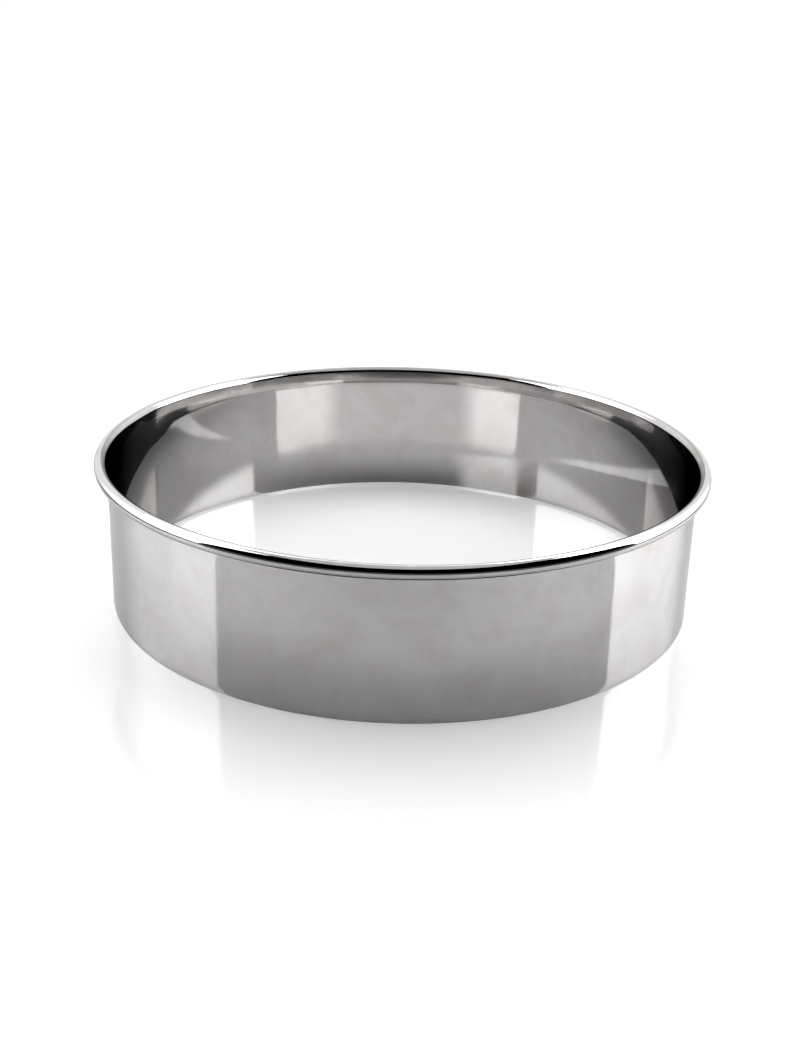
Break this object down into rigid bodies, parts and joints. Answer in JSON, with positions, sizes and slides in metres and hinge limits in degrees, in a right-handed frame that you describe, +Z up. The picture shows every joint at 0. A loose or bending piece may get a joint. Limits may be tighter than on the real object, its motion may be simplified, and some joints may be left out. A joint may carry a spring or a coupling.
{
  "type": "pastry ring",
  "caption": "Round open pastry ring: a straight band of thin bright sheet, its top edge rolled outward over a wire, its lower edge plain, and its ends joined by an upright weld.",
  "frame": {"origin": "on the ring's axis, in the plane that the lower edge stands on", "axes": "+Z up along the ring's axis, out through the rolled rim; -Y towards the viewer and +X to the right in the picture"},
  "size_m": [0.2492, 0.2492, 0.0605],
  "materials": {
    "polished_sheet": "polished stainless sheet with faint rolling marks and fine scratches",
    "bright_wire": "drawn stainless wire",
    "ground_weld": "stainless weld, ground and polished flush"
  },
  "bodies": {
    "root": {"band": "polished_sheet", "rim_wire": "bright_wire", "seam_weld": "ground_weld"}
  },
  "joints": []
}
